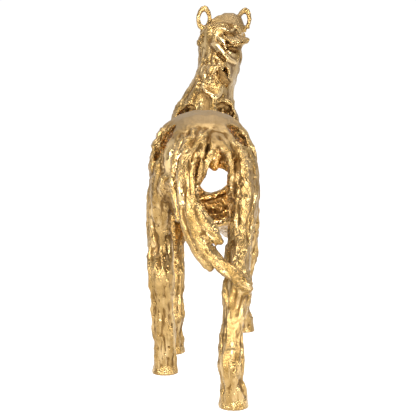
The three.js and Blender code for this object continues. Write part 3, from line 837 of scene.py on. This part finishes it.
def calmShare(points):
    # the drawn forms of the nape, the left thigh and the plate on the neck's right keep their edges
    nape = 0.8 * (1 - smoothStep(np.linalg.norm(points - (30, 354, 436), axis=1), 30, 44))
    thigh = 0.7 * (1 - smoothStep(np.linalg.norm((points - (-50, 74, 280)) / (1, 1, 1.8), axis=1), 9, 18))
    lip = 0.7 * (1 - smoothStep(np.linalg.norm(points - (5, 284, 364), axis=1), 14, 22))
    return np.maximum.reduce([nape, thigh, lip, rightPlate(points)])


def rightPlate(points):
    # 0.9 on the long smooth plate down the neck's right side
    plate = 0.9 * smoothStep(points[:, 0], 28, 33) * (1 - smoothStep(np.abs(points[:, 2] - 386), 26, 34))
    return plate * (1 - smoothStep(points[:, 1], 345, 360))


def polishAndSheenShare(points):
    # 1 along the bright strips, where the gold is polished and painted lighter as a painted highlight
    share = 0.6 * rightPlate(points)
    for rail, width in polishedSheen:
        near = np.nonzero(((points > rail.min(0) - 12) & (points < rail.max(0) + 12)).all(1))[0]
        away = np.linalg.norm(points[near, None] - rail[None], axis=2).min(1)
        share[near] = np.maximum(share[near], 1 - smoothStep(away, 0.8 * width, 1.3 * width))
    return share


points = (readPoints(skin) - underTail) * 1000
edges = readEdges(skin)
for _ in range(relief["ease"]):
    points += 0.5 * (neighbourMean(points, edges) - points)
writePoints(skin, place(points))
normals = readNormals(skin)
for _ in range(relief["easeNormals"]):
    normals = neighbourMean(normals, edges)
normals /= np.maximum(np.linalg.norm(normals, axis=1, keepdims=True), 1e-6)
plain = plainShare(points, normals)
hoof = 1 - smoothStep(points[:, 2], 2, 22)
# the inner walls are quieter: they lie nearer to the grain line than the outside does
inside = np.ones(len(points))
for name in ("trunk", "neck"):
    girths = lines[name].local(points)[3]
    inside = np.minimum(inside, 0.4 + 0.6 * smoothStep(girths, 0.90, 0.98))
ears = smoothStep(points[:, 2], 464, 472)
height = barkHeight(points, inside) * (1 - relief["plateCalm"] * plain)
height = height * (1 - relief["hoofCalm"] * hoof) * (1 - relief["earCalm"] * ears)
height *= 1 - calmShare(points)
height -= pressed(points)[0]
flat = points[:, 2] < relief["footFlat"]
points += normals * height[:, None]
points[:, 2] = np.where(flat, 0, np.maximum(points[:, 2], 0))
writePoints(skin, place(points))
print("relief cut")

# Thinned to the triangles that one piece may have
horse = makeObject("gildedHorse", skin)
skin.materials.clear()
skin.materials.append(barkGold)
decimate = horse.modifiers.new("thin", "DECIMATE")
skin.calc_loop_triangles()
decimate.ratio = min(1.0, casting["triangles"] / len(skin.loop_triangles))
decimate.use_collapse_triangulate = True
final = evaluatedMesh(horse)
discard(horse)
final.name = "gildedHorse"
print("bubbles dropped:", dropBubbles(final), "points")
horse = makeObject("gildedHorse", final)
final.shade_smooth()
print("thinned:", len(final.polygons), "faces")

# What the gold reads from the surface: how deep a place lies, for painted shade in the crevices, where it is
# satin, raw or polished, painted lighter on raw walls and polished places as painted light, and which way the
# grain runs

reading = {
    "fine": (6, 0.85, 0.45),       # rounds of smoothing, share, depth in millimetres that counts in full
    "broad": (40, 0.15, 2.0),
    # a pressed hollow's depth also adds to the painted crevice shade
    "dent": 0.09,                  # what each millimetre of a pressed hollow adds
}

points = (readPoints(final) - underTail) * 1000
edges = readEdges(final)
normals = readNormals(final)
soft = points.copy()
depth = np.zeros(len(points))
turn = 0
for rounds, share, full in (reading["fine"], reading["broad"]):
    while turn < rounds:
        soft = neighbourMean(soft, edges)
        turn += 1
    depth += share * ((soft - points) * normals).sum(1) / full
dent, rawSheen = pressed(points)
# painted shade: darker where the smoothed surface lies above the point, and in pressed hollows
creviceShade = np.clip(0.5 + 0.5 * depth + reading["dent"] * dent, 0, 1)
grain = np.zeros_like(points)
best = np.zeros(len(points))
for number, name, weight, across, fore, along in grainParts(points):
    wins = weight > best
    best = np.maximum(best, weight)
    grain[wins] = np.stack([across / 1.1, fore / 1.1, along / 7.0], 1)[wins] + number * 11.0
plain = plainShare(points, normals)
# inner walls: near the middle of the trunk or the neck, between the openings at both ends; their gold is
# painted lighter, a painted light in the hollow's shade
inner = 1 - smoothStep(lines["trunk"].local(points)[3], 0.88, 0.96)
inner = inner * smoothStep(points[:, 1], 80, 96)
inner *= 1 - smoothStep(points[:, 1], 364, 374)
neckWall = 1 - smoothStep(lines["neck"].local(points)[3], 0.80, 0.90)
inner = np.maximum(inner, neckWall * (points[:, 2] > 330))
# pressed hollows take less of the inner-wall colour, except where their raw share paints a warm orange
# reflection
inner = np.maximum(inner * (1 - np.clip(dent / 4, 0, 0.85)), 0.8 * rawSheen)
for name, values in [("creviceShade", creviceShade), ("satin", plain), ("inner", inner),
                     ("polishAndSheen", polishAndSheenShare(points))]:
    layer = final.attributes.new(name, "FLOAT", "POINT")
    layer.data.foreach_set("value", values.astype(np.float32))
layer = final.attributes.new("grain", "FLOAT_VECTOR", "POINT")
layer.data.foreach_set("vector", grain.astype(np.float32).ravel())
print("gold ready")

# Studio: pale floor, pale surround, four soft lights and a small lamp in the hollow trunk

studio = {
    "reach": 12.0,         # metres of floor on every side
    "floor": (0.50, 0.50, 0.50),
    "dim": (0.1, 0.1, 0.1),        # its glow near the camera
    "lit": (1.0, 1.0, 1.0),
    "front": 0.16,         # surround behind the camera
    "back": 1.05,          # surround behind the horse
    "glow": 0.78,          # light that the paper gives of its own
    "dimFrom": -1.5,       # it fades towards the camera, from litFrom to dimFrom, in metres
    "litFrom": -0.35,
    "dull": 0.9,           # the floor's roughness
    "shine": 0.1,          # and its specular level
    "tilt": 0.5,           # how much the surround brightens upwards, against forwards
    "spread": 0.6,         # how soft the change is
    "lights": [
        # position, aim, width, height, watts
        ((-0.95, -1.5, 0.78), (0, 0, 0.25), 0.34, 1.1, 27),
        ((1.4, -1.2, 0.6), (0, 0, 0.25), 0.20, 1.0, 19),
        ((0.1, -0.3, 2.0), (0, 0, 0.2), 0.7, 0.7, 20),
        ((0.12, -1.7, 0.45), (0, 0.1, 0.2), 0.20, 0.20, 10),
        ((0.0, 0.0, 0.285), (0, 0.03, 0.1), 0.03, 0.08, 0.45),      # the one in the trunk
    ],
}


def softLight(number, position, aim, width, height, watts):
    data = bpy.data.lights.new(f"softbox{number}", "AREA")
    data.shape = "RECTANGLE"
    data.size = width
    data.size_y = height
    data.energy = watts
    lamp = bpy.data.objects.new(f"softbox{number}", data)
    lamp.location = position
    lamp.rotation_euler = (Vector(aim) - Vector(position)).to_track_quat("-Z", "Y").to_euler()
    scene.collection.objects.link(lamp)


for number, light in enumerate(studio["lights"]):
    softLight(number, *light)

world = bpy.data.worlds.new("surround")
world.use_nodes = True
world.node_tree.nodes.clear()
bench = Bench(world.node_tree)
direction = bench.add("ShaderNodeTexCoord", {}, {}, "Generated")
facing = bench.add("ShaderNodeSeparateXYZ", {}, {0: direction}, "Y")
rise = bench.add("ShaderNodeSeparateXYZ", {}, {0: direction}, "Z")
blend = bench.ramp(facing + rise * studio["tilt"], -studio["spread"], studio["spread"],
                   studio["front"], studio["back"])
surround = bench.add("ShaderNodeBackground", {}, {"Color": (1.0, 1.0, 1.0, 1.0), "Strength": blend})
bench.add("ShaderNodeOutputWorld", {}, {"Surface": surround})
scene.world = world

floorMesh = bpy.data.meshes.new("floor")
far = studio["reach"]
floorMesh.from_pydata([(-far, -far, 0), (far, -far, 0), (far, far, 0), (-far, far, 0)], [], [(0, 1, 2, 3)])
floor = makeObject("floor", floorMesh)
floorPaint = bpy.data.materials.new("palePaper")
floorPaint.use_nodes = True
bench = Bench(floorPaint.node_tree)
here = bench.add("ShaderNodeTexCoord", {}, {}, "Object")
ahead = bench.add("ShaderNodeSeparateXYZ", {}, {0: here}, "Y")
lit = bench.ramp(ahead, studio["dimFrom"], studio["litFrom"])
paper = floorPaint.node_tree.nodes["Principled BSDF"]
paperGlow = bench.mixColour(lit, studio["dim"], studio["lit"])
plug(floorPaint.node_tree, paper.inputs["Emission Color"], paperGlow)
paper.inputs["Base Color"].default_value = (*studio["floor"], 1.0)
paper.inputs["Roughness"].default_value = studio["dull"]
paper.inputs["Specular IOR Level"].default_value = studio["shine"]
paper.inputs["Emission Strength"].default_value = studio["glow"]
floorMesh.materials.append(floorPaint)
print("studio ready")

viewpoint = {
    "position": (0.0001, -1.2713, 0.320),
    "down": 5.21,          # degrees below level
    "lens": 79.75,         # millimetres, on a sensor this wide
    "sensor": 36,
}
cameraData = bpy.data.cameras.new("camera")
cameraData.lens = viewpoint["lens"]
cameraData.sensor_width = viewpoint["sensor"]
camera = bpy.data.objects.new("camera", cameraData)
camera.location = viewpoint["position"]
camera.rotation_euler = (math.radians(90 - viewpoint["down"]), 0, 0)
scene.collection.objects.link(camera)
scene.camera = camera
scene.view_settings.view_transform = "Standard"
scene.view_settings.exposure = 0.0

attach(horse, "root")
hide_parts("horse")
